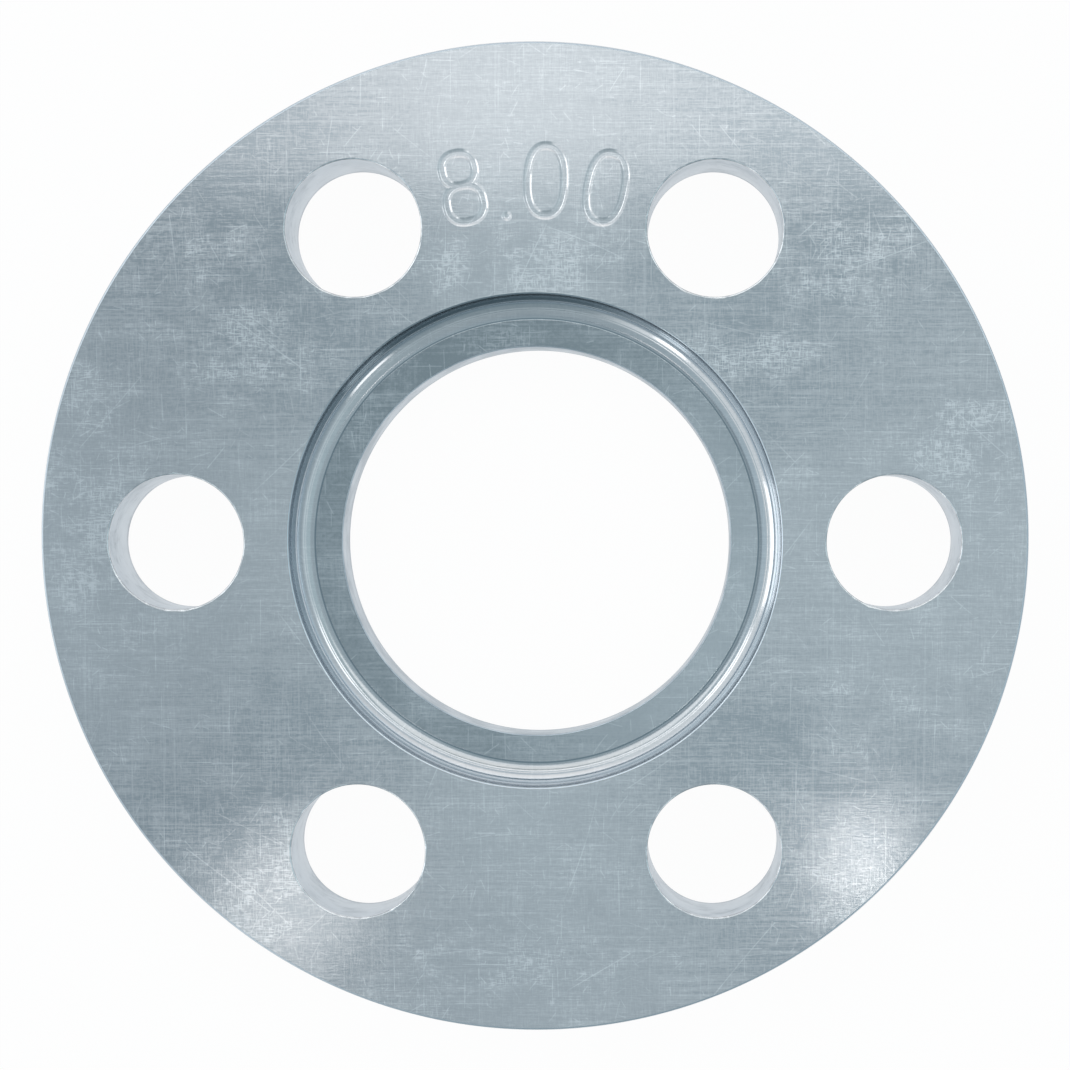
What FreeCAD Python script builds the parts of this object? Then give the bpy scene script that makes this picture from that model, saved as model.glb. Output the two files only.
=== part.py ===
"""Adjustment shim: one turned and drilled steel ring, 88 mm across and 8 mm thick.

The ring lies on its plain back face. Z is the bore axis and points up, out of the recessed front
face. The origin is where that axis meets the back face, and one bolt hole lies on +X.
Lengths are in millimetres.
"""
import FreeCAD, Part
import math
import os

import Sketcher

NODE = "adjustment_shim"

# Driving dimensions: alias, value, what it measures
SIZES = (
    ("outer_diameter", 88.0, "outside of the ring"),
    ("thickness", 8.0, "back face to front face"),
    ("bore_diameter", 35.0, "through bore"),
    ("recess_diameter", 44.0, "straight wall of the recess in the front face"),
    ("recess_depth", 3.0, "front face to recess floor"),
    ("recess_fillet", 2.0, "radius between recess wall and recess floor"),
    ("least_flat", 0.2, "flat that the fillet always leaves on wall and floor"),
    ("bolt_circle", 64.0, "pitch circle of the bolt holes"),
    ("bolt_hole_diameter", 12.0, "each bolt hole"),
    ("bolt_hole_count", 6, "bolt holes, evenly spaced"),
    ("rim_break", 0.2, "edge break round the outside, both faces"),
    ("hole_break", 0.15, "edge break of the bolt holes, both faces"),
    ("recess_break", 0.1, "edge break at the mouth of the recess"),
    ("bore_break", 0.1, "edge break at both ends of the bore"),
)

# Radius of the fillet at the foot of the recess: as asked, or what wall and floor leave room for
FILLET_RADIUS = (
    "min(Sizes.recess_fillet;"
    " Sizes.recess_depth - Sizes.recess_break - Sizes.least_flat;"
    " (Sizes.recess_diameter - Sizes.bore_diameter) / 2 - Sizes.bore_break - Sizes.least_flat)"
)

# How far an edge may lie from the circle that it is looked up by
NEAR = 1e-4


def make_sheet(doc):
    """The spreadsheet of driving dimensions, one alias for each."""
    sheet = doc.addObject("Spreadsheet::Sheet", "Sizes")
    for row, (alias, value, meaning) in enumerate(SIZES, start=1):
        sheet.set(f"A{row}", meaning)
        sheet.set(f"B{row}", str(value))
        sheet.setAlias(f"B{row}", alias)
    doc.recompute()
    return sheet


def origin_plane(body, role):
    """The plane or axis of the body's own origin that has this role."""
    return next(item for item in body.Origin.OriginFeatures if item.Role == role)


def place_sketch(body, name, role):
    """A sketch on one of the body's own origin planes."""
    sketch = body.newObject("Sketcher::SketchObject", name)
    sketch.AttachmentSupport = [(origin_plane(body, role), "")]
    sketch.MapMode = "FlatFace"
    return sketch


def measure(sketch, kind, name, expression, *places):
    """A dimension of the sketch, named and bound to the sheet."""
    index = sketch.addConstraint(Sketcher.Constraint(kind, *places, 1.0))
    sketch.renameConstraint(index, name)
    sketch.setExpression(f"Constraints.{name}", expression)


def draw_section(sketch, sizes):
    """Half section of the turned ring, with its corners sharp: radius across, height up."""
    bore = sizes.bore_diameter / 2
    recess = sizes.recess_diameter / 2
    rim = sizes.outer_diameter / 2
    top = sizes.thickness
    floor = sizes.thickness - sizes.recess_depth
    corners = ((bore, 0), (rim, 0), (rim, top), (recess, top), (recess, floor), (bore, floor))
    points = [FreeCAD.Vector(across, up, 0) for across, up in corners]
    for start, end in zip(points, points[1:] + points[:1]):
        sketch.addGeometry(Part.LineSegment(start, end), False)
    back, outside, front, recess_wall, recess_floor, bore_wall = range(len(points))
    sides = (back, outside, front, recess_wall, recess_floor, bore_wall)
    for side in sides:
        following = sides[(side + 1) % len(sides)]
        sketch.addConstraint(Sketcher.Constraint("Coincident", side, 2, following, 1))
    for level in (front, recess_floor):
        sketch.addConstraint(Sketcher.Constraint("Horizontal", level))
    for upright in (outside, recess_wall, bore_wall):
        sketch.addConstraint(Sketcher.Constraint("Vertical", upright))
    # The back face lies on the horizontal axis, which is geometry -1 of every sketch
    sketch.addConstraint(Sketcher.Constraint("PointOnObject", back, 1, -1))
    sketch.addConstraint(Sketcher.Constraint("PointOnObject", back, 2, -1))
    measure(sketch, "DistanceX", "bore_radius", "Sizes.bore_diameter / 2", -1, 1, back, 1)
    measure(sketch, "DistanceX", "rim_radius", "Sizes.outer_diameter / 2", -1, 1, back, 2)
    measure(sketch, "DistanceX", "recess_radius", "Sizes.recess_diameter / 2", -1, 1, front, 2)
    measure(sketch, "DistanceY", "ring_height", "Sizes.thickness", outside, 1, outside, 2)
    measure(sketch, "DistanceY", "step_height", "Sizes.recess_depth", recess_wall, 2, recess_wall, 1)


def turn_ring(doc, body, sizes):
    """The ring as it comes off the lathe: disc, bore and recess in one revolution."""
    sketch = place_sketch(body, "RingSection", "XZ_Plane")
    draw_section(sketch, sizes)
    ring = body.newObject("PartDesign::Revolution", "TurnedRing")
    ring.Profile = sketch
    ring.ReferenceAxis = (origin_plane(body, "Z_Axis"), [""])
    ring.Angle = 360.0
    doc.recompute()
    return ring


def circular_edges(shape, radius, height, centre_radius=0.0):
    """Names of the full circles of this radius and height, centred this far from the bore axis."""
    names = []
    for number, edge in enumerate(shape.Edges, start=1):
        curve = edge.Curve
        if not isinstance(curve, Part.Circle) or not edge.isClosed():
            continue
        offset = math.hypot(curve.Center.x, curve.Center.y)
        gaps = (curve.Radius - radius, curve.Center.z - height, offset - centre_radius)
        if max(abs(gap) for gap in gaps) < NEAR:
            names.append(f"Edge{number}")
    return names


def round_recess_foot(doc, body, base, sizes):
    """The large fillet that leads the recess wall down into its floor."""
    floor = sizes.thickness - sizes.recess_depth
    foot = circular_edges(base.Shape, sizes.recess_diameter / 2, floor)
    fillet = body.newObject("PartDesign::Fillet", "RecessFoot")
    fillet.Base = (base, foot)
    fillet.setExpression("Radius", FILLET_RADIUS)
    doc.recompute()
    return fillet


def drill_bolt_holes(doc, body):
    """One through hole on +X, drilled from the front face, then copied round the bolt circle."""
    sketch = place_sketch(body, "BoltHoleCentre", "XY_Plane")
    sketch.setExpression("AttachmentOffset.Base.z", "Sizes.thickness")
    circle = sketch.addGeometry(Part.Circle(FreeCAD.Vector(1, 0, 0), FreeCAD.Vector(0, 0, 1), 1), False)
    sketch.addConstraint(Sketcher.Constraint("PointOnObject", circle, 3, -1))
    measure(sketch, "DistanceX", "pitch_radius", "Sizes.bolt_circle / 2", -1, 1, circle, 3)
    measure(sketch, "Diameter", "hole_size", "Sizes.bolt_hole_diameter", circle)
    doc.recompute()
    hole = body.newObject("PartDesign::Hole", "BoltHole")
    hole.Profile = sketch
    doc.recompute()
    hole.DepthType = "ThroughAll"
    hole.DrillPoint = "Flat"
    hole.setExpression("Diameter", "Sizes.bolt_hole_diameter")
    doc.recompute()
    pattern = body.newObject("PartDesign::PolarPattern", "BoltHoles")
    pattern.Originals = [hole]
    pattern.Axis = (origin_plane(body, "Z_Axis"), [""])
    pattern.Angle = 360.0
    pattern.setExpression("Occurrences", "Sizes.bolt_hole_count")
    body.Tip = pattern
    doc.recompute()
    return pattern


def break_edges(doc, body, base, name, size, circles):
    """A 45 degree edge break on every full circle that the list of lookups finds."""
    edges = [edge for lookup in circles for edge in circular_edges(base.Shape, *lookup)]
    chamfer = body.newObject("PartDesign::Chamfer", name)
    chamfer.Base = (base, edges)
    chamfer.setExpression("Size", f"Sizes.{size}")
    body.Tip = chamfer
    doc.recompute()
    return chamfer


def break_all_edges(doc, body, base, sizes):
    """The edge breaks, from the outside inwards, each group with its own size."""
    top = sizes.thickness
    floor = sizes.thickness - sizes.recess_depth
    rim = sizes.outer_diameter / 2
    hole = sizes.bolt_hole_diameter / 2
    pitch = sizes.bolt_circle / 2
    recess = sizes.recess_diameter / 2
    bore = sizes.bore_diameter / 2
    groups = (
        ("RimBreak", "rim_break", ((rim, 0.0), (rim, top))),
        ("BoltHoleBreak", "hole_break", ((hole, 0.0, pitch), (hole, top, pitch))),
        ("RecessBreak", "recess_break", ((recess, top),)),
        ("BoreBreak", "bore_break", ((bore, 0.0), (bore, floor))),
    )
    for name, size, circles in groups:
        base = break_edges(doc, body, base, name, size, circles)
    return base


def make_shim(doc, sizes):
    """The whole shim as one body: turned, rounded, drilled and deburred."""
    body = doc.addObject("PartDesign::Body", "Shim")
    body.Label = NODE
    ring = turn_ring(doc, body, sizes)
    rounded = round_recess_foot(doc, body, ring, sizes)
    drilled = drill_bolt_holes(doc, body)
    if drilled.Shape.Volume >= rounded.Shape.Volume:
        raise RuntimeError("the bolt holes removed no metal")
    break_all_edges(doc, body, drilled, sizes)
    body.Placement = FreeCAD.Placement()
    doc.recompute()
    return body


def check(doc, body):
    """Stop before anything is written if a feature failed or the shape is not one sound solid."""
    for item in doc.Objects:
        if "Invalid" in item.State or "Error" in item.State:
            raise RuntimeError(f"{item.Name} did not compute: {item.State}")
    shape = body.Shape
    if shape.isNull() or not shape.isValid() or len(shape.Solids) != 1:
        raise RuntimeError(f"{body.Label} is not one sound solid")


def main():
    doc = FreeCAD.newDocument("AdjustmentShim")
    sizes = make_sheet(doc)
    shim = make_shim(doc, sizes)
    check(doc, shim)
    os.makedirs("parts", exist_ok=True)
    shim.Shape.exportStep(f"parts/{shim.Label}.step")
    box = shim.Shape.BoundBox
    print(f"{shim.Label}: {box.XLength:.3f} x {box.YLength:.3f} x {box.ZLength:.3f} mm,"
          f" volume {shim.Shape.Volume:.1f} mm3, faces {len(shim.Shape.Faces)}")


main()
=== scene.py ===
"""Looks of the adjustment shim: a zinc-plated steel disc, engraved with its thickness, on a white floor."""
import math

import bmesh
import bpy
import numpy as np
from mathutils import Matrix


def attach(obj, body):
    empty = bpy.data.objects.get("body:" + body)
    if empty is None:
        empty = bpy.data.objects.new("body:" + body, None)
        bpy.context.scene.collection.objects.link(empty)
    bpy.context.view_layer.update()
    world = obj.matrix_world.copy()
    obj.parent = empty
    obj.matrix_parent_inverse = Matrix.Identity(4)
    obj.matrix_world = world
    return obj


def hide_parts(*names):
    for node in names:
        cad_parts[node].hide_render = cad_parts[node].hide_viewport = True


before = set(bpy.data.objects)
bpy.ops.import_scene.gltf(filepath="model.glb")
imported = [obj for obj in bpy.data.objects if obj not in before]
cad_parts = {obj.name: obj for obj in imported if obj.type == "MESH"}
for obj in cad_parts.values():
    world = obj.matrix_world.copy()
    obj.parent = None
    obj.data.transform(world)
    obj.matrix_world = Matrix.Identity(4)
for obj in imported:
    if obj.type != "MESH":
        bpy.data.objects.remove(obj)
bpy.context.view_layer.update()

MM = 0.001

# Sizes in millimetres, the same as in the part's source
OUTER_RADIUS = 44.0
THICKNESS = 8.0
BORE_RADIUS = 17.5
RECESS_RADIUS = 22.0
RECESS_FLOOR = 5.0
RECESS_FILLET = 2.0
BOLT_CIRCLE_RADIUS = 32.0
BOLT_HOLE_RADIUS = 6.0
BOLT_HOLES = 6
FILLET_FOOT = RECESS_RADIUS - RECESS_FILLET
RIM_BREAK = 0.2
HOLE_BREAK = 0.15
RECESS_BREAK = 0.1
BORE_BREAK = 0.1

# How finely the surfaces are divided
TURN_STEPS = 360
ARC_STEPS = 60
SIDE_STEPS = 24
FACE_LAYERS = 8
BREAK_STEPS = 4
FILLET_STEPS = 20
WELD_DISTANCE = 1e-6

# How much closer together a face's rows are near the hole than far from it
ROW_CROWDING = 1.5

# Normals steeper than this count as flat, and edges sharper than this, in degrees, stay crisp
FLAT_NORMAL = 0.99999
CRISP_ANGLE = 30

# Fine turned lines in the recess: distance along the section from the fillet's foot, half width, height
TURNED_LINES = [
    (0.02, 0.06, -0.003),
    (0.94, 0.05, 0.010),
]
LINE_STEPS = 8

# How much of the floor ring the fillet's section takes in
FOOT_LENGTH = 0.2

# Wear of the holes' front edges: heights and depths in mm, widths in radians round the edge
WEAR_SEED = 40
RIPPLE_WAVES = (7, 11, 19, 31)
RIPPLE_HEIGHT = 0.008
NICKS = 5
NICK_DEPTHS = (0.02, 0.08)
NICK_WIDTHS = (0.02, 0.07)

# The engraved thickness, in mm: plain digits on an arc round the bore
GLYPH_RADIUS = 31.9
GLYPH_HEIGHT = 6.9
GLYPH_WIDTH = 4.1
GLYPH_GAP = 1.25
STROKE = 0.84
ENGRAVE_DEPTH = 0.17

# One side of a stroke, from the face down: distance out from the half width, and share of the depth
STROKE_SIDE = [(0.0, 0.0), (-0.08, 0.25), (-0.17, 0.65), (-0.24, 0.90), (-0.30, 1.0)]

# How far the cutting tools rise above the face, and how far they flare out there
CUTTER_TOP = 0.3
CUTTER_FLARE = 0.12

# The digits: the lower loop's share of the height, the upper loop's share of the width, and the ovals' power
LOWER_LOOP_SHARE = 0.53
UPPER_LOOP_WIDTH = 0.88
OVAL_POWER = 2.4
PATH_STEPS = 96

# The point: its width in strokes, and the radius, next to nothing, at which its tool closes
POINT_WIDTH = 1.1
POINT_MIDDLE = 1e-4
POINT_STEPS = 32


def polar(radius, angle, height):
    """Points at a radius, an angle in radians and a height: x = r cos a, y = r sin a, z = h."""
    radius, angle, height = np.broadcast_arrays(radius, angle, height)
    return np.stack([radius * np.cos(angle), radius * np.sin(angle), height], axis=-1).astype(float)


def grid_faces(rows, columns):
    """Four-sided faces of a grid that closes on itself along each row: each face joins a point, the next
    one in its row, and the same two in the row after."""
    i = np.arange(rows - 1)[:, None]
    j = np.arange(columns)[None, :]
    k = (j + 1) % columns
    corners = [i * columns + j, i * columns + k, (i + 1) * columns + k, (i + 1) * columns + j]
    return np.stack(np.broadcast_arrays(*corners), axis=-1).reshape(-1, 4)


def rounded(centre_r, centre_z, size, start, end):
    """Section points of an arc about a centre, from one angle to another in degrees:
    r = rc + s cos t, z = zc + s sin t."""
    t = np.radians(np.linspace(start, end, BREAK_STEPS + 1))
    return np.stack([centre_r + size * np.cos(t), centre_z + size * np.sin(t)], axis=-1)


def revolve(section):
    """A section of radii and heights, carried round the axis in equal steps: a row for each point of it."""
    angle = np.arange(TURN_STEPS) * 2 * math.pi / TURN_STEPS
    return polar(section[:, :1], angle[None, :], section[:, 1:])


def rim_section():
    """Down the outside: a rounded edge, the straight rim, and a rounded edge."""
    r = OUTER_RADIUS - RIM_BREAK
    return np.concatenate([
        rounded(r, THICKNESS - RIM_BREAK, RIM_BREAK, 90, 0),
        rounded(r, RIM_BREAK, RIM_BREAK, 0, -90),
    ])


def fillet_section():
    """From the wall down to the floor ring: the fillet's arc and a little of the ring. Each point is moved
    along the surface's normal by a sum of bell curves, one for each turned line:
    h = a exp(-((s - s0) / w)^2), with s the distance from the fillet's foot."""
    place, width, height = np.array(TURNED_LINES).T
    close = place[:, None] + width[:, None] * np.linspace(-2, 2, LINE_STEPS + 1)
    even = np.linspace(-FOOT_LENGTH, RECESS_FILLET * math.pi / 2, FILLET_STEPS + 1)
    s = np.sort(np.concatenate([even, close.ravel()]))[::-1]
    turn = np.maximum(s, 0.0) / RECESS_FILLET
    size = RECESS_FILLET - (height * np.exp(-(((s[:, None] - place) / width) ** 2))).sum(axis=1)
    r = FILLET_FOOT + np.minimum(s, 0.0) + size * np.sin(turn)
    z = RECESS_FLOOR + RECESS_FILLET - size * np.cos(turn)
    return np.stack([r, z], axis=-1)


def bore_section():
    """Down the inside: the recess's rounded mouth, its wall, the fillet with its turned lines, the floor
    ring, and the bore with an edge rounded at each end."""
    bore_r = BORE_RADIUS + BORE_BREAK
    return np.concatenate([
        rounded(RECESS_RADIUS + RECESS_BREAK, THICKNESS - RECESS_BREAK, RECESS_BREAK, 90, 180),
        fillet_section(),
        rounded(bore_r, RECESS_FLOOR - BORE_BREAK, BORE_BREAK, 90, 180),
        rounded(bore_r, BORE_BREAK, BORE_BREAK, 180, 270),
    ])


def mouth_wear(hole, angle):
    """How far a hole's front edge is worn back at each angle, in mm: a ripple of sines, plus nicks, each a
    bell curve of its own depth and width."""
    rng = np.random.default_rng(WEAR_SEED + hole)
    waves = np.array(RIPPLE_WAVES)
    start = rng.uniform(0, 2 * math.pi, waves.size)
    ripple = RIPPLE_HEIGHT * np.sin(angle[:, None] * waves + start).sum(axis=1)
    place = rng.uniform(0, 2 * math.pi, NICKS)
    depth = rng.uniform(*NICK_DEPTHS, NICKS)
    width = rng.uniform(*NICK_WIDTHS, NICKS)
    away = (angle[:, None] - place + math.pi) % (2 * math.pi) - math.pi
    return ripple + (depth * np.exp(-((away / width) ** 2))).sum(axis=1)


def sector_outline(inner, outer):
    """The closed outline of one sixth of a ring: the outer arc, a radial side, the inner arc back, and the
    other side."""
    half = math.pi / BOLT_HOLES
    arc = np.linspace(-half, half, ARC_STEPS + 1)[:-1]
    return np.concatenate([
        polar(outer, arc, 0.0),
        polar(np.linspace(outer, inner, SIDE_STEPS + 1)[:-1], half, 0.0),
        polar(inner, -arc, 0.0),
        polar(np.linspace(inner, outer, SIDE_STEPS + 1)[:-1], -half, 0.0),
    ])


def hole_surfaces(hole):
    """The front face, back face and wall round one bolt hole. A face is a grid between the hole's mouth and
    the sector's outline, along straight lines, with its rows closer together near the mouth. The wall is
    the hole's section, carried round its axis: a rounded edge, the straight wall, a rounded edge."""
    turn = hole * 2 * math.pi / BOLT_HOLES
    spin = np.array([[math.cos(turn), math.sin(turn), 0], [-math.sin(turn), math.cos(turn), 0], [0, 0, 1]])
    centre = np.array([BOLT_CIRCLE_RADIUS, 0.0, 0.0])
    outer = OUTER_RADIUS - RIM_BREAK
    front = sector_outline(RECESS_RADIUS + RECESS_BREAK, outer)
    back = sector_outline(BORE_RADIUS + BORE_BREAK, outer)
    angle = np.arctan2(front[:, 1], front[:, 0] - BOLT_CIRCLE_RADIUS)
    wear = mouth_wear(hole, angle)
    share = (np.linspace(0, 1, FACE_LAYERS + 1) ** ROW_CROWDING)[:, None, None]
    r = BOLT_HOLE_RADIUS
    front_mouth = centre + polar(r + HOLE_BREAK + wear, angle, THICKNESS)
    back_mouth = centre + polar(r + HOLE_BREAK, angle, 0.0)
    front_face = front_mouth + (front + [0, 0, THICKNESS] - front_mouth) * share
    back_face = back_mouth + (back - back_mouth) * share
    t = np.linspace(0, math.pi / 2, BREAK_STEPS + 1)[:, None]
    top_edge = centre + polar(r + (HOLE_BREAK + wear) * (1 - np.sin(t)), angle,
                              THICKNESS - HOLE_BREAK * (1 - np.cos(t)))
    bottom_edge = centre + polar(r + HOLE_BREAK * (1 - np.sin(t)), angle, HOLE_BREAK * (1 - np.cos(t)))
    wall = np.concatenate([top_edge, bottom_edge[::-1]])
    return [front_face @ spin, back_face @ spin, wall @ spin]


def mesh_of(name, grids):
    """A mesh of closed-row grids in mm, with the points that meet merged and every face turned outwards."""
    starts = np.cumsum([0] + [g.shape[0] * g.shape[1] for g in grids])
    points = np.concatenate([g.reshape(-1, 3) for g in grids]) * MM
    faces = np.concatenate([grid_faces(*g.shape[:2]) + s for g, s in zip(grids, starts)])
    mesh = bpy.data.meshes.new(name)
    mesh.from_pydata(points.tolist(), [], faces.tolist())
    shape = bmesh.new()
    shape.from_mesh(mesh)
    bmesh.ops.remove_doubles(shape, verts=shape.verts, dist=WELD_DISTANCE)
    bmesh.ops.recalc_face_normals(shape, faces=shape.faces)
    shape.to_mesh(mesh)
    shape.free()
    return mesh


def add_object(name, data):
    """An object at the origin that shows a mesh, a lamp or a camera."""
    made = bpy.data.objects.new(name, data)
    bpy.context.collection.objects.link(made)
    return made


def stroke_side():
    """From above the face to the bottom of a stroke, in mm from its centre line and from the face: a flare
    for the cut, a sloping wall and a rounded inner corner."""
    outwards, share = np.array(STROKE_SIDE).T
    side = np.stack([STROKE / 2 + outwards, -share * ENGRAVE_DEPTH], axis=-1)
    return np.concatenate([[[STROKE / 2 + CUTTER_FLARE, CUTTER_TOP]], side])


def channel_section():
    """Across an engraved stroke: down one side, over the flat bottom and up the other side."""
    right = stroke_side()
    return np.concatenate([right, right[::-1] * [-1, 1]])


def sweep_loop(path):
    """The stroke's section carried round a closed flat path: each section point is moved sideways along the
    path's normal, which is its tangent (the next point minus the last) turned by a right angle."""
    section = channel_section()
    tangent = np.roll(path, -1, axis=0) - np.roll(path, 1, axis=0)
    tangent /= np.linalg.norm(tangent, axis=1, keepdims=True)
    normal = np.stack([tangent[:, 1], -tangent[:, 0]], axis=-1)
    flat = path[None, :, :] + section[:, None, :1] * normal[None, :, :]
    height = np.broadcast_to(THICKNESS + section[:, 1][:, None, None], flat.shape[:2] + (1,))
    surface = np.concatenate([flat, height], axis=-1)
    return np.concatenate([surface, surface[:1]])


def oval(centre_y, width, height):
    """A closed superellipse about (0, centre_y): x = w/2 sgn(cos t)|cos t|^(2/n), and y likewise with sin."""
    t = np.arange(PATH_STEPS) * 2 * math.pi / PATH_STEPS
    power = 2 / OVAL_POWER
    x = width / 2 * np.sign(np.cos(t)) * np.abs(np.cos(t)) ** power
    y = height / 2 * np.sign(np.sin(t)) * np.abs(np.sin(t)) ** power
    return np.stack([x, centre_y + y], axis=-1)


def on_arc(points, along):
    """Flat points of a glyph, moved to the arc: turned by the angle that the distance along the arc gives,
    and set out at the arc's radius, with the glyph's own y away from the bore."""
    a = along / GLYPH_RADIUS
    x, y = points[..., 0], points[..., 1] + GLYPH_RADIUS
    return np.stack([x * math.cos(a) + y * math.sin(a), y * math.cos(a) - x * math.sin(a)], axis=-1)


def engraving_cutters():
    """One closed tool for each loop of the digits and one for the point between them."""
    tall = GLYPH_HEIGHT - STROKE
    wide = GLYPH_WIDTH - STROKE
    lower = LOWER_LOOP_SHARE * tall
    upper = tall - lower

    # Along the arc: where the row starts, and the middles of the first digit, the point and the other digits
    start = -(3 * GLYPH_WIDTH + STROKE + 3 * GLYPH_GAP) / 2
    first = start + GLYPH_WIDTH / 2
    point = start + GLYPH_WIDTH + GLYPH_GAP + STROKE / 2
    second = point + STROKE / 2 + GLYPH_GAP + GLYPH_WIDTH / 2
    third = second + GLYPH_WIDTH + GLYPH_GAP

    loops = [
        (oval((lower - tall) / 2, wide, lower), first),
        (oval((tall - upper) / 2, UPPER_LOOP_WIDTH * wide, upper), first),
        (oval(0.0, wide, tall), second),
        (oval(0.0, wide, tall), third),
    ]
    cutters = [sweep_loop(on_arc(path, along)) for path, along in loops]

    # The point, turned about its own middle
    side = stroke_side() * [POINT_WIDTH, 1.0]
    closed = np.concatenate([[[POINT_MIDDLE, CUTTER_TOP]], side, [[POINT_MIDDLE, -ENGRAVE_DEPTH]]])
    angle = np.arange(POINT_STEPS) * 2 * math.pi / POINT_STEPS
    pit = polar(closed[:, :1], angle, THICKNESS + closed[:, 1:])
    pit[..., 1] += STROKE / 2 - GLYPH_HEIGHT / 2
    cutters.append(np.concatenate([on_arc(pit[..., :2], point), pit[..., 2:]], axis=-1))
    return cutters


def cut_engraving(body):
    """Takes the digits' tools out of the body one after another, and leaves a plain mesh."""
    cutters = []
    for index, surface in enumerate(engraving_cutters()):
        cutter = add_object(f"engraving_tool_{index}", mesh_of(f"engraving_tool_{index}", [surface]))
        cut = body.modifiers.new(cutter.name, "BOOLEAN")
        cut.operation, cut.solver, cut.object = "DIFFERENCE", "EXACT", cutter
        cutters.append(cutter)
    bpy.context.view_layer.update()
    graph = bpy.context.evaluated_depsgraph_get()
    cut_mesh = bpy.data.meshes.new_from_object(body.evaluated_get(graph))
    body.modifiers.clear()
    body.data = cut_mesh
    for cutter in cutters:
        bpy.data.objects.remove(cutter)


def mark_edges(mesh):
    """Shades the whole mesh smooth, but keeps an edge crisp where a flat face meets a curved one, or where
    two faces meet at a sharp angle."""
    shape = bmesh.new()
    shape.from_mesh(mesh)
    sharp = math.radians(CRISP_ANGLE)
    for face in shape.faces:
        face.smooth = True
    for edge in shape.edges:
        flat = [abs(face.normal.z) > FLAT_NORMAL for face in edge.link_faces]
        edge.smooth = len(flat) == 2 and flat[0] == flat[1] and edge.calc_face_angle(0.0) < sharp
    shape.to_mesh(mesh)
    shape.free()


class Graph:
    """Adds nodes to a tree and links them."""

    def __init__(self, tree):
        self.tree = tree
        tree.nodes.clear()

    def node(self, kind, settings=None, sockets=None):
        """A node of a type: its settings first, with a ramp's stops among them, then a value or a link for
        each named or numbered socket."""
        made = self.tree.nodes.new(kind)
        for name, value in (settings or {}).items():
            if name == "stops":
                self.set_stops(made.color_ramp, value)
            else:
                setattr(made, name, value)
        for name, value in (sockets or {}).items():
            self.plug(made.inputs[name], value)
        return made

    def set_stops(self, ramp, stops):
        """Gives a ramp its stops, with smooth steps between them."""
        ramp.interpolation = "EASE"
        while len(ramp.elements) < len(stops):
            ramp.elements.new(1.0)
        for element, (position, colour) in zip(ramp.elements, stops):
            element.position = position
            element.color = colour

    def plug(self, socket, value):
        """Links a Value to a socket, or sets the socket's own value."""
        if isinstance(value, Value):
            self.tree.links.new(value.socket, socket)
        else:
            socket.default_value = value

    def out(self, kind, settings=None, sockets=None, name=0):
        """A node as above, and its named or numbered output as a Value."""
        return Value(self, self.node(kind, settings, sockets).outputs[name])

    def maths(self, operation, *values):
        """A Math node on Values and numbers."""
        return self.out("ShaderNodeMath", {"operation": operation}, dict(enumerate(values)))

    def vector(self, operation, *values, name=0):
        """A Vector Math node: output 0 is its vector and output 1 its number."""
        return self.out("ShaderNodeVectorMath", {"operation": operation}, dict(enumerate(values)), name)

    def step(self, value, low, high, top=1.0):
        """0 below low and the top value above high, with a smooth rise between. Low may be the larger."""
        return self.out("ShaderNodeMapRange", {"interpolation_type": "SMOOTHSTEP"},
                        {"Value": value, "From Min": low, "From Max": high, "To Max": top})

    def point(self, x, y, z=0.0):
        """A vector of three numbers."""
        return self.out("ShaderNodeCombineXYZ", None, {"X": x, "Y": y, "Z": z})

    def noise(self, place, scale, detail, rough=0.5, dimensions="2D"):
        """A noise from 0 to 1, about a half on average, with this many waves to a unit."""
        return self.out("ShaderNodeTexNoise", {"noise_dimensions": dimensions},
                        {"Vector": place, "Scale": scale, "Detail": detail, "Roughness": rough})

    def ramp(self, value, stops):
        """A colour that changes with a value, smoothly between stops, each a position and a colour."""
        return self.out("ShaderNodeValToRGB", {"stops": stops}, {0: value})

    def blend(self, share, first, second):
        """A colour between two colours."""
        return self.out("ShaderNodeMix", {"data_type": "RGBA"}, {0: share, 6: first, 7: second}, 2)


class Value:
    """An output socket. Arithmetic on it adds Math nodes."""

    def __init__(self, graph, socket):
        self.graph, self.socket = graph, socket

    def __add__(self, other):
        return self.graph.maths("ADD", self, other)

    def __sub__(self, other):
        return self.graph.maths("SUBTRACT", self, other)

    def __rsub__(self, other):
        return self.graph.maths("SUBTRACT", other, self)

    def __mul__(self, other):
        return self.graph.maths("MULTIPLY", self, other)

    def __truediv__(self, other):
        return self.graph.maths("DIVIDE", self, other)

    def __abs__(self):
        return self.graph.maths("ABSOLUTE", self)

    def larger(self, other):
        return self.graph.maths("MAXIMUM", self, other)

    def smaller(self, other):
        return self.graph.maths("MINIMUM", self, other)

    def squared(self):
        return self * self

    __radd__ = __add__
    __rmul__ = __mul__


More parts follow.
